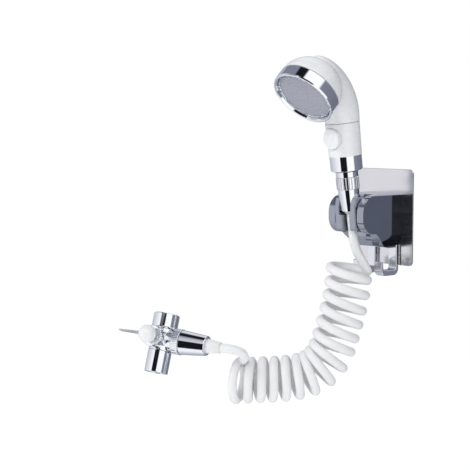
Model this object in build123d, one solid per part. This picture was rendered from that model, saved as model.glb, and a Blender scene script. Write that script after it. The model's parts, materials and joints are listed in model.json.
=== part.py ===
from build123d import *
import math
import os

os.makedirs("parts", exist_ok=True)

# Handheld bath sprayer with a wall bracket, a curly hose and a tap diverter.
# Millimetres, +Z up. The origin is the centre of the wall face; the wall is the plane Y = 0
# and the object stands out from it towards -Y. The handset's plane of symmetry is X = 0.

# ---- driving dimensions: wall plate and bracket ----
PLATE_W = 78.0
PLATE_H = 100.0
PLATE_T = 1.2
PLATE_CORNER = 5.0
PAD_T = 0.8
PLATE_FRONT = -(PAD_T + PLATE_T)

BODY_HALF_W = 24.5
BODY_TOP = 25.3
BODY_BOTTOM = -32.0
BODY_WAIST = -20.0
BODY_TOE = 19.0
CHEEK_FRONT = -60.5
CHEEK_BOTTOM = -15.0
HULL_FRONT = -41.0
SLOT_HALF_W = 14.5
SLOT_FLOOR = -36.8
WALL = 2.4

SCREW_ZS = (14.0, -16.0)
SCREW_R = 2.0

PIVOT_Y = -49.0
PIVOT_Z = -2.0
PIN_R = 3.5
PIN_LENGTH = 8.0
CRADLE_HALF_W = 14.2
CRADLE_TOP = 23.5
CRADLE_MOUTH_HALF_W = 8.3

HOOK_X = 15.0
HOOK_W = 11.0
HOOK_BACK = -2.2
HOOK_T = 4.0
HOOK_TIP_Y = -28.0
HOOK_BOTTOM = -60.0
HOOK_TIP_Z = -45.0

# ---- driving dimensions: handset, along its own axis from the foot of the cone nut ----
HANDSET_TILT = 8.5
HANDSET_Y = -52.6
HANDSET_Z = 6.0
CONE_LENGTH = 25.4
CONE_FOOT_R = 9.5
CONE_TOP_R = 11.3
KNURL_TOP = 38.0
KNURL_R = 12.1
NECK_TOP = 43.6
COLLAR_BOTTOM = 44.6
COLLAR_TOP = 60.0
COLLAR_R = 16.5
GRIP_TOP = 93.3
GRIP_R = 17.6
GRIP_WALL = 2.6
BUTTON_S = 79.0
BUTTON_R = 10.6
BUTTON_CROWN = -20.3
BUTTON_EDGE = -19.4
BUTTON_TRAVEL = 2.5
HEAD_BOTTOM = 94.0

# ---- driving dimensions: spray face, in the handset's frame ----
FACE_Y = -41.1
FACE_Z = 132.5
FACE_DROOP = 37.0
FACE_R = 33.4
FACE_DEPTH = 13.8
FACE_PLATE_R = 26.4
DOME_HEIGHT = 31.0

# ---- driving dimensions: diverter valve ----
DIVERTER_AT = (-129.0, -198.0, -126.0)
DIVERTER_LEAN = 18.5
DIVERTER_ROLL = -5.0
DIVERTER_TURN = 24.5
VALVE_R = 12.2
VALVE_TOP = 11.4
INLET_NUT_R = 13.5
INLET_NUT_BOTTOM = 12.3
INLET_NUT_TOP = 27.0
INLET_THREAD_R = 11.05
INLET_THREAD_LOW = 20.5
OUTLET_R = 12.3
OUTLET_BOTTOM = -34.5
PLUG_R = 7.35
KNOB_R = 9.0
KNOB_Y = -36.0
LEVER_REACH = 31.6
BONNET_R = 10.9
SLEEVE_R = 13.5
SLEEVE_START = 15.2
SLEEVE_END = 23.2
BARREL_R = 12.9
BARREL_END_R = 10.2
BARREL_END = 52.0
BUSH_END = 67.0

# ---- driving dimensions: hose ----
HOSE_R = 4.75
HOSE_BORE = 3.0
COIL_R = 24.0
HOSE_PLANE = 49.0
COIL_ROUTE = (
    (1.5, -48.0, 0.0),
    (3.5, -75.0, 0.0),
    (8.5, -97.0, 0.0),
    (14.5, -120.0, 0.0),
    (21.5, -143.0, 0.0),
    (38.0, -160.5, 0.0),
    (62.0, -166.0, 0.0),
    (90.0, -167.2, 2.0),
    (127.0, -166.5, 11.0),
)

HANDSET = Location((0, HANDSET_Y, HANDSET_Z), (HANDSET_TILT, 0, 0))
FACE = Location((0, FACE_Y, FACE_Z), (90 + FACE_DROOP, 0, 0))
DIVERTER = (
    Location(DIVERTER_AT)
    * Location((0, 0, 0), (-DIVERTER_LEAN, 0, 0))
    * Location((0, 0, 0), (0, DIVERTER_ROLL, 0))
    * Location((0, 0, 0), (0, 0, DIVERTER_TURN))
)
TOWARDS_MINUS_Y = Location((0, 0, 0), (90, 0, 0))
TOWARDS_PLUS_X = Location((0, 0, 0), (0, 90, 0))


def save(name, shape):
    """Write one sub-part to its own STEP file."""
    shape.label = name
    export_step(shape, f"parts/{name}.step")


def rod(radius, low, high):
    """A round bar about Z."""
    bar = Cylinder(radius, high - low, align=(Align.CENTER, Align.CENTER, Align.MIN))
    return Pos(0, 0, low) * bar


def tube(outer, inner, low, high):
    """A round tube about Z."""
    return rod(outer, low, high) - rod(inner, low - 1, high + 1)


def cone(low_r, high_r, low, high):
    """A tapered bar about Z."""
    bar = Cone(low_r, high_r, high - low, align=(Align.CENTER, Align.CENTER, Align.MIN))
    return Pos(0, 0, low) * bar


def slab(x0, x1, y0, y1, z0, z1):
    """A box between two corners."""
    block = Box(x1 - x0, y1 - y0, z1 - z0)
    return Pos((x0 + x1) / 2, (y0 + y1) / 2, (z0 + z1) / 2) * block


def knurled(radius, low, high, flutes, depth):
    """A round bar whose rim has evenly spaced flutes."""
    blank = chamfer(rod(radius, low, high).edges(), 0.5)
    cutter = rod(depth, low - 1, high + 1)
    return blank - PolarLocations(radius, flutes) * cutter


def spring(mean_r, wire_r, low, high, turns):
    """An open coil spring about Z."""
    height = high - low - 2 * wire_r
    helix = Helix(height / turns, height, mean_r)
    section = Plane(origin=helix @ 0, z_dir=helix % 0) * Circle(wire_r)
    return Pos(0, 0, low + wire_r) * sweep(section, path=helix)


def hose_run(points, radius):
    """A straight-and-arc hose run whose arcs are as large as their runs allow."""
    vectors = [Vector(*point) for point in points]
    runs = [b - a for a, b in zip(vectors, vectors[1:])]
    radii = []
    for before, after in zip(runs, runs[1:]):
        half_turn = math.radians(before.get_angle(after)) / 2
        shorter = min(before.length, after.length)
        radii.append(0.45 * shorter / math.tan(half_turn))
    print("hose arc radii:", [round(r, 1) for r in radii])
    path = FilletPolyline(*points, radius=radii)
    solid = sweep(Plane(origin=path @ 0, z_dir=path % 0) * Circle(radius), path=path)
    expected = math.pi * radius**2 * path.length
    print("hose run length", round(path.length, 1), "volume ratio", round(solid.volume / expected, 4))
    return solid


def point_in(frame, x, y, z):
    """World place of a point given in one of the tilted frames."""
    return tuple((frame * Pos(x, y, z)).position)


def in_hose_plane(out, height, aside=0.0):
    """A point of the vertical plane in which the hose hangs, out from the cradle."""
    angle = math.radians(HOSE_PLANE)
    x = -out * math.cos(angle) + aside * math.sin(angle)
    y = -52.0 - out * math.sin(angle) - aside * math.cos(angle)
    return (x, y, height)


# =====================================================================  wall bracket
def make_wall_plate():
    """The stainless plate and the foam pad that sticks it to the tiles."""
    outline = RectangleRounded(PLATE_W, PLATE_H, PLATE_CORNER)
    pad_outline = RectangleRounded(PLATE_W - 3, PLATE_H - 3, PLATE_CORNER - 1.5)
    facing_out = Plane.XZ
    pad = extrude(facing_out * pad_outline, PAD_T)
    plate = extrude(facing_out.offset(PAD_T) * outline, PLATE_T)
    plate = chamfer(plate.edges().filter_by_position(Axis.Y, PLATE_FRONT, PLATE_FRONT), 0.3)
    for z in SCREW_ZS:
        at = Location((0, 0, z)) * TOWARDS_MINUS_Y
        pad -= at * rod(4.2, -1, PAD_T + 0.01)
        plate -= at * rod(SCREW_R + 0.15, 0, 5)
    save("adhesive_pad", pad)
    save("steel_plate", plate)

    screw = rod(SCREW_R, 0.1, 12.0) + rod(3.8, 0.1, PAD_T)
    screw -= slab(-2.6, 2.6, -0.4, 0.4, 0, 0.45)
    placed = [Location((0, 0, z)) * TOWARDS_MINUS_Y * screw for z in SCREW_ZS]
    save("bracket_screws", Compound(children=placed))


def shield(shrink):
    """The bracket's outline as seen from the front."""
    half = BODY_HALF_W - shrink
    low = BODY_BOTTOM + shrink
    shoulder = BODY_TOP - shrink - 1.5
    toe = BODY_TOE - shrink
    face = make_face(
        [
            Line((half, shoulder), (half, BODY_WAIST)),
            Line((half, BODY_WAIST), (toe, low)),
            Line((toe, low), (-toe, low)),
            Line((-toe, low), (-half, BODY_WAIST)),
            Line((-half, BODY_WAIST), (-half, shoulder)),
            ThreePointArc((-half, shoulder), (0, shoulder + 3), (half, shoulder)),
        ]
    )
    face = fillet([v for v in face.vertices() if abs(v.Y - BODY_WAIST) < 0.1], 20)
    return fillet([v for v in face.vertices() if abs(v.Y - low) < 0.1], 6)


def side_profile(shrink):
    """The bracket's outline as seen from the side, cheeks and hull together."""
    front = CHEEK_FRONT + shrink
    outline = Polyline(
        (2, BODY_TOP + 4),
        (-8, BODY_TOP + 2.5),
        (front, BODY_TOP - 3 - shrink),
        (front, CHEEK_BOTTOM + shrink),
        (HULL_FRONT + shrink, CHEEK_BOTTOM + shrink),
        (-24, BODY_BOTTOM + 2 + shrink),
        (2, BODY_BOTTOM - 2),
        close=True,
    )
    face = make_face(outline)
    brow = [v for v in face.vertices() if abs(v.X - front) < 0.1 and v.Y > 0]
    face = fillet(brow, 18 - shrink)
    chin = [v for v in face.vertices() if abs(v.X - front) < 0.1 and v.Y < 0]
    face = fillet(chin, 15.5 - shrink)
    heel = [v for v in face.vertices() if abs(v.X + 24) < 0.1]
    return fillet(heel, 9)


def make_bracket_body():
    """The plated shell: a shield-shaped block with two cheeks, hollow from the back."""
    depth = -CHEEK_FRONT
    outer = extrude(Plane.XZ.offset(-PLATE_FRONT) * shield(0), depth)
    outer &= extrude(Plane.YZ * side_profile(0), BODY_HALF_W + 1, both=True)
    slot = slab(-SLOT_HALF_W, SLOT_HALF_W, -70, SLOT_FLOOR, -60, 40)
    outer -= slot
    lips = [e for e in outer.edges() if abs(abs(e.center().X) - SLOT_HALF_W) < 0.2 and e.center().Y < -40]
    outer = fillet(lips, 1.5)
    hollow = extrude(Plane.XZ.offset(-PLATE_FRONT - 1) * shield(WALL), 1 - SLOT_FLOOR + PLATE_FRONT - WALL)
    hollow &= extrude(Plane.YZ * side_profile(WALL), BODY_HALF_W, both=True)
    body = outer - hollow
    for z in SCREW_ZS:
        at = Location((0, 0, z)) * TOWARDS_MINUS_Y
        body += at * tube(4.6, SCREW_R, -PLATE_FRONT, -SLOT_FLOOR - 1)
    pins = Location((0, PIVOT_Y, PIVOT_Z)) * TOWARDS_PLUS_X * rod(PIN_R, -21, 21)
    body -= pins
    for side in (-1, 1):
        body -= hook_stem(side, 0.1)
    save("bracket_body", body)


def hook_stem(side, gap):
    """The upright of a hook, which stands in a slot in the bracket's sole."""
    x = side * HOOK_X
    half = HOOK_W / 2 + gap
    return slab(x - half, x + half, HOOK_BACK - HOOK_T - gap, HOOK_BACK + gap, -40, -24 + gap)


def make_hook(side, name):
    """A J-shaped hook, wide as a strap and thinner towards its tip."""
    back = HOOK_BACK
    front = back - HOOK_T
    outline = Polyline(
        (back, -24),
        (back, HOOK_BOTTOM),
        (HOOK_TIP_Y, HOOK_BOTTOM),
        (HOOK_TIP_Y, HOOK_TIP_Z),
        (HOOK_TIP_Y + 2.4, HOOK_TIP_Z),
        (HOOK_TIP_Y + 3.2, HOOK_BOTTOM + 5.5),
        (front, HOOK_BOTTOM + 5.5),
        (front, -24),
        close=True,
    )
    face = make_face(outline)
    outside = [v for v in face.vertices() if abs(v.Y - HOOK_BOTTOM) < 0.1]
    face = fillet(outside, 7)
    inside = [v for v in face.vertices() if abs(v.Y - HOOK_BOTTOM - 5.5) < 0.1]
    face = fillet(inside, 3)
    tip = [v for v in face.vertices() if abs(v.Y - HOOK_TIP_Z) < 0.1]
    face = fillet(tip, 1.1)
    hook = extrude(Plane.YZ * face, HOOK_W / 2, both=True)
    hook = fillet([e for e in hook.edges() if abs(abs(e.center().X) - HOOK_W / 2) < 0.1], 0.8)
    save(name, Pos(side * HOOK_X, 0, 0) * hook)


def make_cradle():
    """The tilting block with a tapered seat for the cone nut and an open front."""
    half = CRADLE_HALF_W
    outline = Polyline(
        (PIVOT_Y + 8.0, CRADLE_TOP - 4),
        (-60.0, CRADLE_TOP),
        (-62.5, CRADLE_TOP - 12),
        (-60.0, -12),
        (PIVOT_Y, -13.5),
        (PIVOT_Y + 8.0, -12.0),
        (PIVOT_Y + 11.2, PIVOT_Z),
        close=True,
    )
    face = make_face(outline)
    face = fillet([v for v in face.vertices() if v.X < -59], 3)
    face = fillet([v for v in face.vertices() if v.Y < -13], 4)
    face = fillet([v for v in face.vertices() if v.X > PIVOT_Y + 7.9], 2.5)
    block = extrude(Plane.YZ * face, half, both=True)
    clearance = 0.12
    taper = (CONE_TOP_R - CONE_FOOT_R) / (CONE_LENGTH - 3.2)
    top_r = CONE_TOP_R + taper * 8 + clearance
    seat = cone(CONE_FOOT_R + clearance, top_r, 3.2, CONE_LENGTH + 8)
    seat += cone(HOSE_R + 2.2, CONE_FOOT_R + clearance, -0.8, 3.2)
    seat += rod(HOSE_R + 1.2, -40, 0)
    mouth = slab(-CRADLE_MOUTH_HALF_W, CRADLE_MOUTH_HALF_W, -40, 0, -40, 60)
    lower_mouth = slab(-HOSE_R - 1.2, HOSE_R + 1.2, -40, 0, -40, 60)
    upper = slab(-40, 40, -90, 0, PIVOT_Z + 6, 60)
    block -= HANDSET * seat
    block -= (HANDSET * mouth) & upper
    block -= HANDSET * lower_mouth
    sides = [e for e in block.edges() if abs(abs(e.center().X) - half) < 0.1 and e.center().Y < -50]
    block = fillet(sides, 1.0)
    for side in (-1, 1):
        washer_pocket = rod(6.6, half - 1.6, half + 1)
        pin_hole = rod(PIN_R, half - 4.2, half + 1)
        turn = Location((0, 0, 0), (0, 0, 0 if side > 0 else 180))
        at = Location((0, PIVOT_Y, PIVOT_Z)) * turn * TOWARDS_PLUS_X
        block -= at * (washer_pocket + pin_hole)
    save("cradle", block)


def make_pivots():
    """Two steel pins that carry the cradle, and the friction washers that hold its angle."""
    pins = []
    washers = []
    for side in (-1, 1):
        turn = Location((0, 0, 0), (0, 0, 0 if side > 0 else 180))
        at = Location((0, PIVOT_Y, PIVOT_Z)) * turn * TOWARDS_PLUS_X
        inner = CRADLE_HALF_W - 4.0
        pins.append(at * chamfer(rod(PIN_R - 0.03, inner, inner + PIN_LENGTH + 2.6).edges(), 0.4))
        washers.append(at * tube(6.4, PIN_R + 0.05, CRADLE_HALF_W - 1.5, SLOT_HALF_W - 0.02))
    save("pivot_pins", Compound(children=pins))
    save("friction_washers", Compound(children=washers))


# =====================================================================  handset
def make_hose_nut():
    """The tapered cone nut, its knurled ring and the swivelling hose end inside."""
    foot = 3.2
    profile = Polyline(
        (HOSE_R + 0.7, 0),
        (CONE_FOOT_R - 2.2, 0.4),
        (CONE_FOOT_R, foot),
        (CONE_TOP_R, CONE_LENGTH),
        (8.6, CONE_LENGTH),
        (7.4, 8),
        (HOSE_R + 0.4, 6),
        (HOSE_R + 0.4, 0),
        close=True,
    )
    shell = revolve(Plane.XZ * make_face(profile), Axis.Z)
    save("cone_nut", HANDSET * shell)

    ring = knurled(KNURL_R, CONE_LENGTH, KNURL_TOP, 26, 0.75)
    ring -= rod(6.2, CONE_LENGTH - 1, KNURL_TOP)
    ring -= rod(10.6, CONE_LENGTH + 1.6, KNURL_TOP + 1)
    save("knurled_ring", HANDSET * ring)

    barb = tube(HOSE_BORE, 2.1, 7, 27.2) + tube(9.8, 2.1, 27.2, 28.5)
    for s in (10, 13, 16):
        barb += cone(HOSE_BORE, HOSE_BORE + 0.35, s, s + 1.8) - rod(2.1, s - 1, s + 3)
    save("hose_barb", HANDSET * barb)

    cuff = tube(HOSE_R, HOSE_BORE + 0.4, 0.02, 20)
    save("hose_cuff_upper", HANDSET * cuff)
    save("hose_washer", HANDSET * tube(9.7, 5.0, 28.55, 30.4))


def make_handle():
    """Threaded stub, seal, chrome collar and the white grip with its button opening."""
    stub = tube(10.45, 6.0, 30.5, 38.3) + tube(11.7, 6.0, 38.3, NECK_TOP) + tube(9.0, 6.0, NECK_TOP, 52)
    save("thread_stub", HANDSET * stub)
    save("grip_seal", HANDSET * tube(12.9, 9.05, NECK_TOP, COLLAR_BOTTOM))

    collar = cone(COLLAR_R - 0.2, COLLAR_R, COLLAR_BOTTOM, COLLAR_TOP)
    collar = fillet(collar.edges().sort_by(Axis.Z)[0], 0.8)
    collar -= rod(9.05, COLLAR_BOTTOM - 1, COLLAR_TOP)
    collar -= rod(13.4, COLLAR_BOTTOM + 2.4, COLLAR_TOP + 1)
    save("collar", HANDSET * collar)

    grip = cone(COLLAR_R + 0.3, GRIP_R, COLLAR_TOP, GRIP_TOP) + rod(13.35, 47.5, COLLAR_TOP)
    grip -= rod(11.3, 40, COLLAR_TOP + 2)
    grip -= rod(GRIP_R - GRIP_WALL - 0.6, COLLAR_TOP + 2, GRIP_TOP + 1)
    hole = Location((0, 0, BUTTON_S)) * TOWARDS_MINUS_Y * rod(BUTTON_R + 0.3, 0, 30)
    grip -= hole
    save("grip_shell", HANDSET * grip)


def make_stop_valve():
    """The press button that stops the water, with its plunger, seal, spring and water tube."""
    across = Location((0, 0, BUTTON_S)) * TOWARDS_MINUS_Y
    waterway = rod(7.6, 52.1, 88) + across * rod(6.4, -8.6, 11.5)
    waterway -= rod(5.0, 50, 90)
    waterway -= across * rod(3.05, -6, 13)
    waterway -= across * rod(4.0, 9.4, 13)
    save("grip_waterway", HANDSET * waterway)

    plunger = rod(3.0, 1.0, -BUTTON_EDGE - 2.2)
    plunger -= tube(3.2, 2.5, 2.5, 3.6)
    save("valve_plunger", HANDSET * across * plunger)
    save("plunger_seal", HANDSET * across * tube(3.95, 3.04, 9.5, 11.3))
    save("button_spring", HANDSET * across * spring(4.7, 0.45, 11.6, 17.1, 3.5))

    crown = Polyline(
        (0, -BUTTON_CROWN),
        (5.0, -BUTTON_CROWN - 0.25),
        (8.6, -BUTTON_CROWN - 0.85),
        (BUTTON_R - 0.4, -BUTTON_EDGE - 0.2),
        (BUTTON_R, -BUTTON_EDGE - 0.9),
        (BUTTON_R, 10.8),
        (BUTTON_R - 1.7, 10.8),
        (BUTTON_R - 1.7, -BUTTON_EDGE - 2.2),
        (0, -BUTTON_EDGE - 2.2),
        close=True,
    )
    button = revolve(Plane.XZ * make_face(crown), Axis.Z)
    save("stop_button", HANDSET * across * button)


def neck_sections(shrink):
    """Round sections that carry the neck from the grip up and over into the dome."""
    stations = (
        (0.0, HEAD_BOTTOM, 90, GRIP_R),
        (-1.6, 105.2, 104, 19.3),
        (-5.9, 116.2, 118, 20.9),
        (-11.9, 125.3, 129, 22.2),
        (-18.8, 132.5, 138, 23.2),
        (-26.0, 138.0, 150, 23.8),
        (-34.0, 140.6, 170, 24.2),
    )
    sections = []
    for y, z, heading, radius in stations:
        angle = math.radians(heading)
        along = (0, math.cos(angle), math.sin(angle))
        sections.append(Plane(origin=(0, y, z), x_dir=(1, 0, 0), z_dir=along) * Circle(radius - shrink))
    return sections


def dome(radius, height):
    """Half an ellipsoid behind the spray face, its rim on the face's back plane."""
    quarter = make_face(
        [
            EllipticalCenterArc((0, 0), radius, height, start_angle=-90, arc_size=90),
            Line((radius, 0), (0, 0)),
            Line((0, 0), (0, -height)),
        ]
    )
    return revolve(Plane.XZ * quarter, Axis.Z)


def make_head():
    """The white head shell, the waterway inside it and the bearing ring at the neck."""
    wall = 2.6
    front_half = FACE * rod(FACE_R + 0.3, 0, 60)
    outside = loft(neck_sections(0)) + FACE * dome(FACE_R, DOME_HEIGHT)
    inside = loft(neck_sections(wall)) + FACE * dome(FACE_R - wall, DOME_HEIGHT - wall)
    shell = (outside - front_half) - inside
    shell += tube(GRIP_R - 0.2, 14.3, HEAD_BOTTOM, HEAD_BOTTOM + 6)
    shell -= rod(14.3, HEAD_BOTTOM - 1, HEAD_BOTTOM + 5)
    shell -= rod(15.2, HEAD_BOTTOM + 1.6, HEAD_BOTTOM + 2.8)
    shell += FACE * (tube(31.6, 28.2, -2.5, -0.2) + tube(29.5, 28.2, -2.5, 7))
    save("head_shell", HANDSET * shell)

    bearing = tube(14.1, 10.5, BUTTON_S + BUTTON_R + 0.7, HEAD_BOTTOM + 4.7)
    bearing += tube(16.6, 10.5, GRIP_TOP + 0.05, GRIP_TOP + 0.4)
    bearing -= tube(16, 13.1, HEAD_BOTTOM + 1.6, HEAD_BOTTOM + 2.8)
    save("neck_bearing", HANDSET * bearing)
    save("neck_snap_ring", HANDSET * tube(15.1, 13.15, HEAD_BOTTOM + 1.7, HEAD_BOTTOM + 2.7))

    route = FilletPolyline((0, 0, 83), (0, 0, 118), (0, -33.0, 130.5), radius=12)
    duct = sweep(Plane(origin=route @ 0, z_dir=route % 0) * Circle(4.9), path=route)
    duct -= tube(6, 4.35, 84.9, 86.5)
    dish = rod(27.6, -6, 8.2) - rod(25.6, -4, 9)
    bore = sweep(Plane(origin=route @ 0, z_dir=route % 0) * Circle(3.6), path=route)
    behind_dish = FACE * slab(-60, 60, -60, 60, -5, 60)
    waterway = (duct - behind_dish) + FACE * dish
    waterway -= bore
    save("head_waterway", HANDSET * waterway)
    save("neck_oring", HANDSET * tube(4.98, 4.4, 85.0, 86.4))


def make_face_parts():
    """Chrome ring, clear inner ring, perforated plate and the seal behind it."""
    here = HANDSET * FACE
    rim = Polyline(
        (FACE_R - 0.5, 0.1),
        (FACE_R, 1.0),
        (FACE_R, FACE_DEPTH - 1.6),
        (FACE_R - 0.6, FACE_DEPTH - 0.4),
        (FACE_R - 1.6, FACE_DEPTH),
        (FACE_R - 2.8, FACE_DEPTH - 0.6),
        (28.8, 9.6),
        (28.8, 9.0),
        (29.7, 9.0),
        (29.7, 0.1),
        close=True,
    )
    save("face_ring", here * revolve(Plane.XZ * make_face(rim), Axis.Z))
    light = Polyline(
        (FACE_PLATE_R + 0.15, 9.55),
        (28.7, 9.55),
        (28.7, 11.4),
        (28.0, 11.8),
        (FACE_PLATE_R + 0.15, 11.0),
        close=True,
    )
    save("light_ring", here * revolve(Plane.XZ * make_face(light), Axis.Z))
    plate = rod(FACE_PLATE_R, 9.5, 10.6)
    for ring_index in range(1, 6):
        plate -= PolarLocations(4.8 * ring_index, 6 * ring_index) * rod(0.45, 9, 11)
    save("face_plate", here * plate)
    save("face_seal", here * tube(27.3, 24.8, 8.25, 9.45))


# =====================================================================  diverter valve
def make_valve_body():
    """The cross-shaped body with its inlet neck, spindle boss and hose stub."""
    body = fillet(rod(VALVE_R, -12, VALVE_TOP).edges(), 1.0)
    body += rod(8.0, VALVE_TOP - 1, 16.6) + rod(10.2, 16.5, 18.0) + rod(8.7, -17, -11)
    body += TOWARDS_MINUS_Y * rod(BONNET_R - 0.5, 0, 17)
    body += TOWARDS_PLUS_X * (rod(11.4, 0, SLEEVE_START - 0.3) + rod(8.6, 0, 33))
    body -= rod(5.5, -20, 20)
    body -= TOWARDS_MINUS_Y * rod(PLUG_R + 0.05, -8.5, 20)
    body -= TOWARDS_PLUS_X * rod(4.5, 0, 40)
    body -= TOWARDS_PLUS_X * rod(6.1, 22, 40)
    socket = TOWARDS_PLUS_X * Pos(0, 0, 20) * Location((0, 0, 0), (0, 90, 0)) * rod(1.25, 5, 10)
    for step in range(6):
        body -= Location((0, 0, 0), (step * 60, 0, 0)) * socket
    save("valve_body", DIVERTER * body)
    ball = Pos(7.4, 0, 0) * Sphere(1.2)
    balls = [DIVERTER * TOWARDS_PLUS_X * Pos(0, 0, 20) * Rot(0, 0, step * 60) * ball for step in range(6)]
    save("locking_balls", Compound(children=balls))


def make_inlet_and_outlet():
    """The swivel nut that goes on the tap, its washer and screen, and the open outlet below."""
    nut = chamfer(rod(INLET_NUT_R, INLET_NUT_BOTTOM, INLET_NUT_TOP).edges(), 0.7)
    nut -= rod(8.3, 0, 20)
    nut -= rod(INLET_THREAD_R - 0.3, 16.4, INLET_THREAD_LOW + 0.1)
    nut -= rod(INLET_THREAD_R, INLET_THREAD_LOW, INLET_NUT_TOP + 1)
    save("inlet_nut", DIVERTER * nut)
    save("inlet_washer", DIVERTER * tube(10.6, 6.2, 18.05, 20.4))
    save("inlet_screen", DIVERTER * rod(6.1, 18.1, 18.9))

    outlet = tube(OUTLET_R, 11.0, OUTLET_BOTTOM, -17.9) + tube(OUTLET_R, 8.8, -18, -12.3)
    outlet = fillet(outlet.edges().group_by(Axis.Z)[0], 0.5)
    save("outlet_tube", DIVERTER * outlet)
    insert = rod(10.9, OUTLET_BOTTOM + 1.2, OUTLET_BOTTOM + 6)
    for ring_r, count in ((0.0, 1), (3.0, 6), (6.0, 12), (8.8, 18)):
        hole = rod(0.9, OUTLET_BOTTOM, OUTLET_BOTTOM + 7)
        insert -= PolarLocations(ring_r, count) * hole if ring_r else hole
    save("aerator_insert", DIVERTER * insert)
    save("aerator_washer", DIVERTER * tube(10.9, 9.0, OUTLET_BOTTOM + 6.1, OUTLET_BOTTOM + 8))


def make_lever():
    """The diverter plug and spindle with its packing, bonnet, ball knob and lever."""
    reach = LEVER_REACH
    side = make_face(
        Polyline((6, -1.7), (-reach + 1.5, -0.8), (-reach, 0), (-reach + 1.5, 0.8), (6, 1.7), close=True)
    )
    arm = extrude(side, 3.2, both=True)
    arm = Location((0, KNOB_Y, 0)) * TOWARDS_MINUS_Y * arm
    arm = fillet(arm.edges().filter_by(Axis.Y), 0.3)
    save("lever_arm", DIVERTER * arm)

    turned = DIVERTER * TOWARDS_MINUS_Y
    plug = rod(PLUG_R, -8.2, 8.2)
    plug -= Location((0, 0, 0), (90, 0, 0)) * rod(4.4, -10, 10)
    plug -= TOWARDS_PLUS_X * rod(4.4, 0, 10)
    spindle = TOWARDS_MINUS_Y * rod(3.0, 8.1, -KNOB_Y + 3.2) - arm
    save("diverter_plug", DIVERTER * (TOWARDS_MINUS_Y * plug + spindle))
    save("spindle_packing", turned * tube(7.2, 3.05, 8.6, 12))
    bonnet = rod(7.3, 12.1, 17.3) + knurled(BONNET_R, 17.1, 26.0, 30, 0.5)
    bonnet -= rod(3.15, 0, 40)
    save("bonnet_nut", turned * bonnet)

    knob = Pos(0, KNOB_Y, 0) * Sphere(KNOB_R)
    knob -= TOWARDS_MINUS_Y * rod(3.02, 0, -KNOB_Y + 3.25)
    save("lever_knob", DIVERTER * (knob - arm))


def make_coupler():
    """The quick coupler: sprung knurled sleeve, plug with O-ring, barrel and hose bush."""
    along = DIVERTER * TOWARDS_PLUS_X
    sleeve = knurled(SLEEVE_R, SLEEVE_START, SLEEVE_END, 48, 0.42)
    sleeve -= rod(8.75, 10, 30)
    sleeve -= rod(11.9, 10, 19)
    save("release_sleeve", along * sleeve)
    save("sleeve_spring", along * spring(10.3, 0.45, SLEEVE_START - 0.25, 18.95, 2.5))

    plug = rod(6.0, 22.1, 35) + rod(8.6, 33.1, 36)
    plug += rod(HOSE_BORE, 35, 45)
    for x in (37, 40, 43):
        plug += cone(HOSE_BORE + 0.35, HOSE_BORE, x, x + 1.8)
    plug -= tube(6.5, 5.0, 27, 28.7)
    plug -= rod(2.1, 20, 50)
    save("hose_plug", along * plug)
    save("plug_oring", along * tube(6.08, 5.02, 27.05, 28.65))

    barrel = cone(BARREL_R, BARREL_END_R, SLEEVE_END + 0.3, BARREL_END)
    barrel = fillet(barrel.edges().group_by(Axis.Z)[0], 0.5)
    barrel = fillet(barrel.edges().group_by(Axis.Z)[-1], 1.2)
    barrel -= rod(8.75, 20, 36.1)
    barrel -= rod(HOSE_R + 0.15, 30, 60)
    save("coupler_barrel", along * barrel)
    save("hose_cuff_lower", along * tube(HOSE_R, HOSE_BORE + 0.4, 36.2, BARREL_END - 0.12))
    bush = cone(7.6, 5.6, BARREL_END + 0.05, BUSH_END) - rod(HOSE_R + 0.12, 40, 80)
    save("hose_bush", along * bush)


# =====================================================================  hose
def make_hose():
    """The hanging hose: a run from the cone nut, the curly part's outer shape, a run to the coupler."""
    curl = [in_hose_plane(*point) for point in COIL_ROUTE]
    save("hose_coil", hose_run(curl, COIL_R))

    upper = [
        point_in(HANDSET, 0, 0, 0),
        point_in(HANDSET, 0, 0, -12),
        (0.5, -49.6, -20.0),
        (2.2, -47.8, -31.0),
        (6.0, -44.6, -41.0),
        (11.4, -40.2, -49.9),
    ]
    save("hose_upper", hose_run(upper, HOSE_R))

    lower = [
        point_in(DIVERTER, BARREL_END - 0.1, 0, 0),
        point_in(DIVERTER, BARREL_END + 14, 0, 0),
        in_hose_plane(112.5, -130.5, 33.0),
        in_hose_plane(106.0, -146.0, 4.0),
    ]
    save("hose_lower", hose_run(lower, HOSE_R))


make_wall_plate()
make_bracket_body()
make_hook(-1, "hook_left")
make_hook(1, "hook_right")
make_cradle()
make_pivots()
make_hose_nut()
make_handle()
make_stop_valve()
make_head()
make_face_parts()
make_valve_body()
make_inlet_and_outlet()
make_lever()
make_coupler()
make_hose()
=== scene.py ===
import json
import math

import bmesh
import bpy
from mathutils import Matrix, Vector


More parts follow.
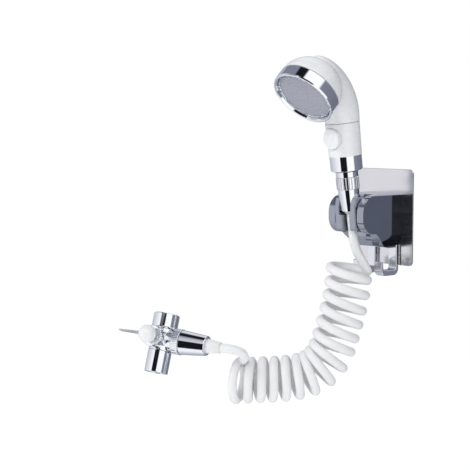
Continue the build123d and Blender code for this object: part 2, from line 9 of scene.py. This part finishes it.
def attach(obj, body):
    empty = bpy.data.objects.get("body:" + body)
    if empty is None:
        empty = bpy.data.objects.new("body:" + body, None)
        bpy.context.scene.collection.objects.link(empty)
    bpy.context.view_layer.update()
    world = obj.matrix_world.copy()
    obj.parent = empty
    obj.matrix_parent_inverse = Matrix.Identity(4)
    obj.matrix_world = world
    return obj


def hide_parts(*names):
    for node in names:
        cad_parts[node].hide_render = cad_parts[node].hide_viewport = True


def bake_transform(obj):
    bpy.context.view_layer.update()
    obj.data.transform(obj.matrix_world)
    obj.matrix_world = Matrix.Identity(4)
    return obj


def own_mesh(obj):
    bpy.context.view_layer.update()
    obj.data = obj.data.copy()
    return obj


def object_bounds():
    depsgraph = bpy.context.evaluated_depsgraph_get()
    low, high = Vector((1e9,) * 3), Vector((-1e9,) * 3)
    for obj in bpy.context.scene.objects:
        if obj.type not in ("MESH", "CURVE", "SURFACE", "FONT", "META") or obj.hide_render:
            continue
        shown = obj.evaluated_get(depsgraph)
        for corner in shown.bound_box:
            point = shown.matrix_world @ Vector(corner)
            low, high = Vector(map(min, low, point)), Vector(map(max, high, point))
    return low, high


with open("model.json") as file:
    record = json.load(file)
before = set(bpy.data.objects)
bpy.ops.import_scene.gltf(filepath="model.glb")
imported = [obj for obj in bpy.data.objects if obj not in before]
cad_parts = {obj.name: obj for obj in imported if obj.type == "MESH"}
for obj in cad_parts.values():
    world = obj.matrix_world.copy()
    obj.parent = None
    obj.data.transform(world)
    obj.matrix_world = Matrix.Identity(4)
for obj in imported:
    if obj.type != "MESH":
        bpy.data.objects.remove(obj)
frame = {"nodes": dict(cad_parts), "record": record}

CAD_LOW, CAD_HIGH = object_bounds()
SCENE = bpy.context.scene

# The shared frame, in metres: +Z up; the wall is the plane y = 0, and the object is on its -y side.
HANDSET_TILT = math.radians(8.5)
HANDSET_FOOT = Vector((0.0, -0.0526, 0.006))
DIVERTER_AT = Vector((-0.129, -0.198, -0.126))
DIVERTER_LEAN = math.radians(-18.5)
DIVERTER_ROLL = math.radians(-5.0)
DIVERTER_TURN = math.radians(24.5)

HANDSET = Matrix.Translation(HANDSET_FOOT) @ Matrix.Rotation(HANDSET_TILT, 4, "X")
DIVERTER = (
    Matrix.Translation(DIVERTER_AT)
    @ Matrix.Rotation(DIVERTER_LEAN, 4, "X")
    @ Matrix.Rotation(DIVERTER_ROLL, 4, "Y")
    @ Matrix.Rotation(DIVERTER_TURN, 4, "Z")
)

# The hose leaves HOSE_FROM and hangs in a vertical plane that meets the wall at this angle.
HOSE_PLANE = math.radians(49)
HOSE_OUT = Vector((-math.cos(HOSE_PLANE), -math.sin(HOSE_PLANE), 0))
HOSE_ASIDE = Vector((math.sin(HOSE_PLANE), -math.cos(HOSE_PLANE), 0))
HOSE_FROM = Vector((0, -0.052, 0))
HOSE_R = 0.00475
COIL_R = 0.01925
COIL_TURNS = 15.5
COIL_POINTS_PER_TURN = 16

# How the turns sit on their axis. The first and the last part of a turn keep their place on it. The
# loops crowd a little at the low end and lean with the axis. The last ones turn aside, and the very
# last part steps back along the axis, so that the tail can pass.
COIL_START = 0.0045
COIL_END_GAP = 0.008
COIL_FIRST_HOLD = 0.45
COIL_LAST_HOLD = 0.5
COIL_CROWDING = 0.12
COIL_STEP_BACK = 0.007
COIL_STEP_BACK_POWER = 1.3
LEAN_AT_TOP = 0.07
LEAN_PER_AXIS_ANGLE = 0.9
YAW_MOST = 0.34
YAW_FROM_TURN = 13.3
YAW_OVER_TURNS = 1.6

# Points in the hose's plane: millimetres out from HOSE_FROM, up from it and aside.
COIL_ROUTE = [
    (1.5, -48.0, 0), (3.5, -75.0, 0), (8.5, -97.0, 0), (14.5, -120.0, 0), (21.5, -143.0, 0),
    (38.0, -160.5, 0), (62.0, -166.0, 0), (90.0, -167.2, 2.0), (127.0, -166.5, 11.0),
]
TAIL_ROUTE = [
    (111.0, -143.5, 19.0), (109.5, -139.5, 25.0), (111.5, -135.0, 29.5),
    (117.5, -131.8, 31.0), (125.0, -130.3, 29.4),
]

# The plain run from the cradle's foot to the first turn, in metres in the shared frame.
UPPER_RUN = [(0.0005, -0.0496, -0.020), (0.0022, -0.0478, -0.031), (0.006, -0.0446, -0.041)]

# Heights on the handset's axis: the neck's ends and middle. The hose starts just inside the neck.
NECK_TOP, NECK_MIDDLE, NECK_LOW = 0.0003, -0.008, -0.016
NECK_OVERLAP = 0.0004
# Distances on the coupler's axis: where the hose enters the bush, inside it, and where it ends.
PAST_BUSH, IN_BUSH, SOCKET = 0.066, 0.059, 0.0519

SPRING_WIRE_R = 0.00045
SPRING_POINTS_PER_TURN = 24
BUTTON_HEIGHT = 0.079

CAMERA_AT = (0.92946, -1.01825, 0.0999)
CAMERA_PITCH = math.radians(85)
CAMERA_HEADING = math.radians(49)
CAMERA_LENS = 99.96
SENSOR_WIDTH = 36

# The room that polished metal sees. Its rings of panels change over between two heights, given as
# sines of the angle above the horizon. The lower ring's headings are counted from ROOM_TURN, in
# degrees.
BLACK = (0.008, 0.009, 0.012)
SLATE = (0.20, 0.215, 0.27)
DEEP_SLATE = (0.15, 0.16, 0.2)
MIST = (0.5, 0.52, 0.58)
PALE = (0.66, 0.66, 0.7)
NEAR_WHITE = (0.9, 0.9, 0.92)
SOFT_WHITE = (0.95, 0.95, 0.95)
WHITE = (1.0, 1.0, 1.0)
UPPER_RING_FROM = (0.42, 0.5)
OVERHEAD_FROM = (0.93, 0.95)
ROOM_TURN = -41.0
METAL_LIGHT = 1.15
FILL_LIGHT = 0.66


# ------------------------------------------------------------------ camera, light and floor
def add_camera():
    data = bpy.data.cameras.new("camera")
    data.lens = CAMERA_LENS
    data.sensor_width = SENSOR_WIDTH
    data.clip_start = 0.05
    data.clip_end = 50
    camera = bpy.data.objects.new("camera", data)
    camera.location = CAMERA_AT
    camera.rotation_euler = (CAMERA_PITCH, 0, CAMERA_HEADING)
    SCENE.collection.objects.link(camera)
    SCENE.camera = camera


def area_light(name, place, aim, size, watts):
    data = bpy.data.lights.new(name, "AREA")
    data.shape = "DISK"
    data.size = size
    data.energy = watts
    light = bpy.data.objects.new(name, data)
    light.location = place
    light.rotation_euler = (Vector(aim) - Vector(place)).to_track_quat("-Z", "Y").to_euler()
    light.visible_glossy = False
    SCENE.collection.objects.link(light)


def feed(tree, socket, value):
    """Give a socket a colour, or the output of another node."""
    if isinstance(value, tuple):
        socket.default_value = (*value, 1)
    else:
        tree.links.new(value, socket)


def map_range(tree, value, low, high, to_low=0.0, to_high=1.0):
    """A value carried from one range to another, and held at its ends."""
    node = tree.nodes.new("ShaderNodeMapRange")
    names = ("From Min", "From Max", "To Min", "To Max")
    for name, number in zip(names, (low, high, to_low, to_high)):
        node.inputs[name].default_value = number
    tree.links.new(value, node.inputs["Value"])
    return node.outputs["Result"]


def mix_colours(tree, share, first, second):
    node = tree.nodes.new("ShaderNodeMix")
    node.data_type = "RGBA"
    tree.links.new(share, node.inputs["Factor"])
    feed(tree, node.inputs["A"], first)
    feed(tree, node.inputs["B"], second)
    return node.outputs["Result"]


def mix_shaders(tree, share, first, second):
    node = tree.nodes.new("ShaderNodeMixShader")
    for socket, output in zip(node.inputs, (share, first, second)):
        tree.links.new(output, socket)
    return node.outputs[0]


def panels_round(tree, share, bands):
    """A colour for every compass heading, blended from one listed heading to the next."""
    panels = tree.nodes.new("ShaderNodeValToRGB")
    tree.links.new(share, panels.inputs[0])
    elements = panels.color_ramp.elements
    while len(elements) > 1:
        elements.remove(elements[-1])
    stops = sorted((((at + 180) % 360) / 360, colour) for at, colour in bands)
    elements[0].position = 0.0
    elements[0].color = (*stops[-1][1], 1)
    for at, colour in stops:
        elements.new(at).color = (*colour, 1)
    return panels.outputs[0]


def room_colour(tree, wall_bands, upper_bands, zenith):
    """Upright panels by compass heading, another ring of them above, and one colour overhead."""
    place = tree.nodes.new("ShaderNodeTexCoord")
    split = tree.nodes.new("ShaderNodeSeparateXYZ")
    tree.links.new(place.outputs["Generated"], split.inputs[0])
    heading = tree.nodes.new("ShaderNodeMath")
    heading.operation = "ARCTAN2"
    tree.links.new(split.outputs["Y"], heading.inputs[0])
    tree.links.new(split.outputs["X"], heading.inputs[1])
    round_share = map_range(tree, heading.outputs[0], -math.pi, math.pi)
    walls = panels_round(tree, round_share, wall_bands)
    upper = panels_round(tree, round_share, upper_bands)
    height = split.outputs["Z"]
    room = mix_colours(tree, map_range(tree, height, *UPPER_RING_FROM), walls, upper)
    return mix_colours(tree, map_range(tree, height, *OVERHEAD_FROM), room, zenith)


def background(tree, colour, strength):
    node = tree.nodes.new("ShaderNodeBackground")
    node.inputs["Strength"].default_value = strength
    feed(tree, node.inputs["Color"], colour)
    return node.outputs[0]


def add_studio():
    """A pale room; polished metal sees the dark and bright panels that stand round the object."""
    SCENE.view_settings.view_transform = "Standard"
    world = bpy.data.worlds.new("studio")
    SCENE.world = world
    world.use_nodes = True
    tree = world.node_tree
    tree.nodes.clear()
    walls = [
        (-150, MIST), (-110, PALE), (-62, NEAR_WHITE), (-48, SOFT_WHITE), (-45, BLACK), (-1, BLACK),
        (5, WHITE), (50, WHITE), (58, SLATE), (125, DEEP_SLATE), (165, SLATE),
    ]
    walls = [(ROOM_TURN + heading, colour) for heading, colour in walls]
    upper = [
        (-150, SLATE), (-100, SLATE), (-60, WHITE), (60, WHITE), (100, PALE), (150, PALE),
        (153, BLACK), (159, BLACK), (163, SLATE),
    ]
    seen_in_metal = background(tree, room_colour(tree, walls, upper, BLACK), METAL_LIGHT)
    soft_fill = background(tree, (0.95, 0.96, 1.0), FILL_LIGHT)
    backdrop = background(tree, WHITE, 1.0)
    ray = tree.nodes.new("ShaderNodeLightPath")
    room_light = mix_shaders(tree, ray.outputs["Is Glossy Ray"], soft_fill, seen_in_metal)
    everything = mix_shaders(tree, ray.outputs["Is Camera Ray"], room_light, backdrop)
    output = tree.nodes.new("ShaderNodeOutputWorld")
    tree.links.new(everything, output.inputs["Surface"])
    area_light("key", (-0.7, -1.3, 1.2), (-0.03, -0.1, 0.0), 0.9, 10)
    area_light("front", (0.75, -1.25, 0.75), (-0.05, -0.1, -0.05), 0.9, 6)


def add_floor():
    """A round pale floor a little below the hanging hose."""
    bm = bmesh.new()
    bmesh.ops.create_circle(bm, cap_ends=True, segments=96, radius=0.75)
    mesh = bpy.data.meshes.new("floor")
    bm.to_mesh(mesh)
    bm.free()
    floor = bpy.data.objects.new("floor", mesh)
    floor.location = (-0.05, -0.12, CAD_LOW.z - 0.08)
    floor.visible_glossy = False
    SCENE.collection.objects.link(floor)
    material = bpy.data.materials.new("floor_white")
    material.use_nodes = True
    shader = material.node_tree.nodes["Principled BSDF"]
    shader.inputs["Base Color"].default_value = (0.9, 0.9, 0.9, 1)
    shader.inputs["Roughness"].default_value = 0.95
    shader.inputs["Specular IOR Level"].default_value = 0.1
    shader.inputs["Emission Color"].default_value = (1, 1, 1, 1)
    shader.inputs["Emission Strength"].default_value = 0.35
    mesh.materials.append(material)


# ------------------------------------------------------------------ materials
class Surface:
    """A procedural material built up node by node around one Principled shader."""

    def __init__(self, name):
        self.material = bpy.data.materials.new(name)
        self.material.use_nodes = True
        self.tree = self.material.node_tree
        self.shader = self.tree.nodes["Principled BSDF"]
        self.place = self.tree.nodes.new("ShaderNodeTexCoord")

    def set(self, **values):
        for name, value in values.items():
            self.shader.inputs[name.replace("_", " ")].default_value = value
        return self

    def noise(self, scale, detail=3.0, stretch=(1, 1, 1), rough=0.5):
        mapping = self.tree.nodes.new("ShaderNodeMapping")
        mapping.inputs["Scale"].default_value = stretch
        self.tree.links.new(self.place.outputs["Object"], mapping.inputs["Vector"])
        texture = self.tree.nodes.new("ShaderNodeTexNoise")
        texture.inputs["Scale"].default_value = scale
        texture.inputs["Detail"].default_value = detail
        texture.inputs["Roughness"].default_value = rough
        self.tree.links.new(mapping.outputs[0], texture.inputs["Vector"])
        return texture.outputs["Fac"]

    def tint(self, factor, low, high):
        colour = mix_colours(self.tree, factor, low, high)
        self.tree.links.new(colour, self.shader.inputs["Base Color"])
        return self

    def roughness(self, factor, low, high):
        """Roughness from low to high over the middle of a noise's range."""
        rough = map_range(self.tree, factor, 0.3, 0.7, low, high)
        self.tree.links.new(rough, self.shader.inputs["Roughness"])
        return self

    def bump(self, factor, strength, distance):
        node = self.tree.nodes.new("ShaderNodeBump")
        node.inputs["Strength"].default_value = strength
        node.inputs["Distance"].default_value = distance
        self.tree.links.new(factor, node.inputs["Height"])
        self.tree.links.new(node.outputs[0], self.shader.inputs["Normal"])
        return self


def chrome(name, low, high, rough):
    """Plated metal: faint cloudiness, fine wiping marks and a barely uneven surface."""
    surface = Surface(name).set(Metallic=1.0)
    surface.tint(surface.noise(55, detail=4), low, high)
    wiped = surface.noise(420, detail=6, stretch=(1, 1, 0.25), rough=0.65)
    surface.roughness(wiped, rough * 0.6, rough * 1.6)
    surface.bump(surface.noise(130, detail=2), strength=0.05, distance=0.0002)
    return surface.material


def stainless():
    """Bright rolled sheet with long fine grain."""
    surface = Surface("stainless_sheet").set(Metallic=1.0)
    grain = surface.noise(900, detail=3, stretch=(0.03, 1, 1), rough=0.7)
    surface.tint(surface.noise(20, detail=3), (0.74, 0.735, 0.755), (0.85, 0.84, 0.86))
    surface.roughness(grain, 0.12, 0.24)
    surface.bump(grain, strength=0.04, distance=0.0001)
    return surface.material


def gloss_white(name, low, high, rough):
    """Injection-moulded ABS with a slight orange peel under a glossy skin."""
    surface = Surface(name)
    surface.set(Coat_Weight=0.35, Coat_Roughness=0.08, IOR=1.5, Subsurface_Weight=0.08)
    surface.shader.inputs["Subsurface Radius"].default_value = (0.002, 0.002, 0.002)
    surface.tint(surface.noise(38, detail=3), low, high)
    surface.roughness(surface.noise(260, detail=4), rough * 0.8, rough * 1.25)
    surface.bump(surface.noise(520, detail=2), strength=0.03, distance=0.00015)
    return surface.material


def hose_plastic():
    """Soft milky polyurethane with faint drawn lines and cloudy depth."""
    surface = Surface("hose_polyurethane")
    surface.set(IOR=1.48, Subsurface_Weight=0.35, Subsurface_Scale=0.004)
    surface.shader.inputs["Subsurface Radius"].default_value = (1.0, 1.0, 0.95)
    surface.tint(surface.noise(60, detail=4), (0.77, 0.77, 0.768), (0.83, 0.83, 0.828))
    surface.roughness(surface.noise(300, detail=4), 0.26, 0.42)
    drawn = surface.noise(240, detail=3, stretch=(1, 1, 0.5))
    surface.bump(drawn, strength=0.05, distance=0.0002)
    return surface.material


def plain_plastic(name, low, high, rough):
    """Moulded plastic, foam or rubber with a fine even texture and no coat."""
    surface = Surface(name).set(IOR=1.49)
    surface.tint(surface.noise(70, detail=3), low, high)
    surface.roughness(surface.noise(350, detail=5), rough * 0.85, rough * 1.15)
    surface.bump(surface.noise(900, detail=2), strength=0.08, distance=0.0001)
    return surface.material


def metal(name, low, high, rough):
    """Turned metal with fine tool marks."""
    surface = Surface(name).set(Metallic=1.0)
    surface.tint(surface.noise(80, detail=4), low, high)
    turned = surface.noise(700, detail=4, stretch=(1, 1, 0.1))
    surface.roughness(turned, rough * 0.7, rough * 1.4)
    surface.bump(surface.noise(900, detail=2, stretch=(1, 1, 0.1)), strength=0.06, distance=0.0001)
    return surface.material


def clear_plastic():
    """The faintly blue clear ring round the spray face."""
    surface = Surface("clear_ring").set(IOR=1.5, Transmission_Weight=0.75)
    surface.tint(surface.noise(60, detail=2), (0.78, 0.82, 0.88), (0.86, 0.89, 0.94))
    surface.roughness(surface.noise(200, detail=3), 0.05, 0.15)
    surface.bump(surface.noise(300, detail=2), strength=0.05, distance=0.0002)
    return surface.material


# For each slot of the record: how it is made, its material's name, its two colours, its roughness.
FINISHES = {
    "foam": (plain_plastic, "foam_pad", (0.8, 0.8, 0.78), (0.88, 0.88, 0.86), 0.85),
    "chrome": (chrome, "chrome_bright", (0.80, 0.82, 0.86), (0.88, 0.9, 0.93), 0.045),
    # The dark chrome's low base colours are painted reflection: they dim the plating to stand in
    # for the dark surroundings that its side faces reflect.
    "dark_chrome": (chrome, "chrome_painted_dark_reflection", (0.36, 0.38, 0.43), (0.42, 0.44, 0.5), 0.06),
    "steel": (metal, "zinc_steel", (0.55, 0.56, 0.58), (0.66, 0.67, 0.69), 0.3),
    "brass": (metal, "machined_brass", (0.72, 0.55, 0.28), (0.82, 0.65, 0.36), 0.28),
    "white_abs": (gloss_white, "white_abs", (0.79, 0.791, 0.795), (0.84, 0.841, 0.845), 0.26),
    "acetal": (plain_plastic, "acetal", (0.8, 0.8, 0.77), (0.87, 0.87, 0.84), 0.4),
    "grey_face": (plain_plastic, "grey_face", (0.33, 0.34, 0.40), (0.38, 0.39, 0.45), 0.42),
    "rubber_black": (
        plain_plastic, "black_rubber", (0.015, 0.015, 0.016), (0.035, 0.035, 0.036), 0.6,
    ),
}


def slot_materials():
    """One finished material for each slot of the record."""
    made = {slot: make(*values) for slot, (make, *values) in FINISHES.items()}
    made.update(stainless=stainless(), clear=clear_plastic(), hose_plastic=hose_plastic())
    return made


def dress_cad(materials):
    """Every CAD node takes the material of its slot."""
    for entry in frame["record"]["subparts"]:
        node = frame["nodes"][entry["node"]]
        node.data.materials.clear()
        node.data.materials.append(materials[entry["material_slot"]])


# ------------------------------------------------------------------ hose
def in_hose_plane(out, height, aside=0.0):
    """The place in the shared frame of a point of the hose's plane, given in millimetres."""
    return HOSE_FROM + (HOSE_OUT * out + HOSE_ASIDE * aside) / 1000 + Vector((0, 0, height / 1000))


def nurbs_curve(name, points, resolution):
    curve = bpy.data.curves.new(name, "CURVE")
    curve.dimensions = "3D"
    curve.resolution_u = resolution
    spline = curve.splines.new("NURBS")
    spline.points.add(len(points) - 1)
    for control, place in zip(spline.points, points):
        control.co = (*place, 1)
    spline.order_u = 3
    spline.use_endpoint_u = True
    return bpy.data.objects.new(name, curve)


def line_of(curve_object):
    """The points along a curve that has no bevel."""
    mesh = bpy.data.meshes.new_from_object(curve_object)
    line = [vertex.co.copy() for vertex in mesh.vertices]
    bpy.data.meshes.remove(mesh)
    return line


def lengths_along(line):
    total = [0.0]
    for a, b in zip(line, line[1:]):
        total.append(total[-1] + (b - a).length)
    return total


def place_on(line, total, distance):
    """The point and heading at a distance along a line."""
    distance = min(max(distance, 0), total[-1])
    index = next((i for i in range(1, len(total)) if total[i] >= distance), len(total) - 1)
    share = (distance - total[index - 1]) / max(total[index] - total[index - 1], 1e-9)
    before = line[max(index - 2, 0)]
    after = line[min(index + 1, len(line) - 1)]
    return line[index - 1].lerp(line[index], share), (after - before).normalized()


def tube_mesh(name, line, radius, sides=20):
    """A tube swept along a line with a frame that never twists, closed at both ends."""
    vertices, faces = [], []
    heading = (line[1] - line[0]).normalized()
    across = heading.orthogonal().normalized()
    for index, centre in enumerate(line):
        before = line[max(index - 1, 0)]
        after = line[min(index + 1, len(line) - 1)]
        new_heading = (after - before).normalized()
        across = heading.rotation_difference(new_heading) @ across
        heading = new_heading
        across = (across - heading * across.dot(heading)).normalized()
        other = heading.cross(across)
        for side in range(sides):
            angle = 2 * math.pi * side / sides
            vertices.append(centre + (across * math.cos(angle) + other * math.sin(angle)) * radius)
    for ring in range(len(line) - 1):
        for side in range(sides):
            a = ring * sides + side
            b = ring * sides + (side + 1) % sides
            faces.append((a, b, b + sides, a + sides))
    faces.append(tuple(reversed(range(sides))))
    last = (len(line) - 1) * sides
    faces.append(tuple(range(last, last + sides)))
    mesh = bpy.data.meshes.new(name)
    mesh.from_pydata(vertices, [], faces)
    for polygon in mesh.polygons:
        polygon.use_smooth = len(polygon.vertices) == 4
    obj = bpy.data.objects.new(name, mesh)
    SCENE.collection.objects.link(obj)
    return obj


def coil_points():
    """The curly part's turns, worked out along the line that the curl hangs on."""
    axis_points = [in_hose_plane(out, height, aside) for out, height, aside in COIL_ROUTE]
    axis = line_of(nurbs_curve("coil_axis", axis_points, 24))
    total = lengths_along(axis)
    climb = total[-1] - COIL_START - COIL_END_GAP
    count = int(COIL_TURNS * COIL_POINTS_PER_TURN)
    # The curve cuts inside its control points by this much.
    swell = 1 / (0.5 + 0.5 * math.cos(2 * math.pi / COIL_POINTS_PER_TURN))
    points = []
    for step in range(count + 1):
        turns = COIL_TURNS * step / count
        share = (turns - COIL_FIRST_HOLD) / (COIL_TURNS - COIL_FIRST_HOLD - COIL_LAST_HOLD)
        share = min(max(share, 0), 1)
        along = COIL_START + climb * ((1 + COIL_CROWDING) * share - COIL_CROWDING * share * share)
        past = max(0, (turns - COIL_TURNS + COIL_LAST_HOLD) / COIL_LAST_HOLD)
        along -= COIL_STEP_BACK * past ** COIL_STEP_BACK_POWER
        centre, heading = place_on(axis, total, along)
        axis_angle = math.atan2(heading.dot(HOSE_OUT), -heading.z)
        lean = LEAN_AT_TOP + LEAN_PER_AXIS_ANGLE * axis_angle
        yaw = YAW_MOST * min(max((turns - YAW_FROM_TURN) / YAW_OVER_TURNS, 0), 1)
        outward = -HOSE_OUT * math.cos(lean) - Vector((0, 0, 1)) * math.sin(lean)
        back = -HOSE_ASIDE * math.cos(yaw) - HOSE_OUT * math.sin(yaw)
        turn = 2 * math.pi * turns
        around = outward * math.cos(turn) + back * math.sin(turn)
        points.append(centre + around * COIL_R * swell)
    return points


def make_hose(materials):
    """The neck inside the cradle, and the hanging hose from there down to the coupler."""
    neck_top = HANDSET @ Vector((0, 0, NECK_TOP))
    neck_low = HANDSET @ Vector((0, 0, NECK_LOW))
    white = materials["hose_plastic"]

    neck_points = [neck_top, HANDSET @ Vector((0, 0, NECK_MIDDLE)), neck_low]
    neck_line = line_of(nurbs_curve("neck_line", neck_points, 24))
    neck = tube_mesh("hose_neck", neck_line, HOSE_R)
    neck.data.materials.append(white)
    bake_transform(neck)

    route = [neck_low - (HANDSET.to_3x3() @ Vector((0, 0, -NECK_OVERLAP)))]
    route += [Vector(place) for place in UPPER_RUN]
    route += coil_points()
    route += [in_hose_plane(out, height, aside) for out, height, aside in TAIL_ROUTE]
    route += [DIVERTER @ Vector((along, 0, 0)) for along in (PAST_BUSH, IN_BUSH, SOCKET)]
    line = line_of(nurbs_curve("hose_line", route, 3))
    hose = tube_mesh("curly_hose", line, HOSE_R)
    hose.data.materials.append(white)
    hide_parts("hose_coil", "hose_upper", "hose_lower")
    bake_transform(hose)


def make_spring(name, frame_at, mean_r, low, high, turns, rides_on, material):
    """A coil spring about the frame's Z axis, from its low end to its high end, carried by the body
    that it rides on.
    """
    steps = int(turns * SPRING_POINTS_PER_TURN)
    climb = high - low - 2 * SPRING_WIRE_R
    line = []
    for step in range(steps + 1):
        angle = 2 * math.pi * turns * step / steps
        rise = low + SPRING_WIRE_R + climb * step / steps
        line.append(frame_at @ Vector((mean_r * math.cos(angle), mean_r * math.sin(angle), rise)))
    spring = tube_mesh(name + "_wire", line, SPRING_WIRE_R, sides=10)
    spring.data.materials.append(material)
    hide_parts(name)
    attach(spring, rides_on)
    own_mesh(spring)


def make_springs(materials):
    """The springs behind the stop button and inside the coupler's sleeve."""
    quarter = math.radians(90)
    button = HANDSET @ Matrix.Translation((0, 0, BUTTON_HEIGHT)) @ Matrix.Rotation(quarter, 4, "X")
    make_spring(
        "button_spring", button, mean_r=0.0047, low=0.0116, high=0.0171, turns=3.5,
        rides_on="handset", material=materials["steel"],
    )
    coupler = DIVERTER @ Matrix.Rotation(quarter, 4, "Y")
    make_spring(
        "sleeve_spring", coupler, mean_r=0.0103, low=0.01495, high=0.01895, turns=2.5,
        rides_on="root", material=materials["steel"],
    )


add_camera()
add_studio()
add_floor()
MATERIALS = slot_materials()
dress_cad(MATERIALS)
make_hose(MATERIALS)
make_springs(MATERIALS)
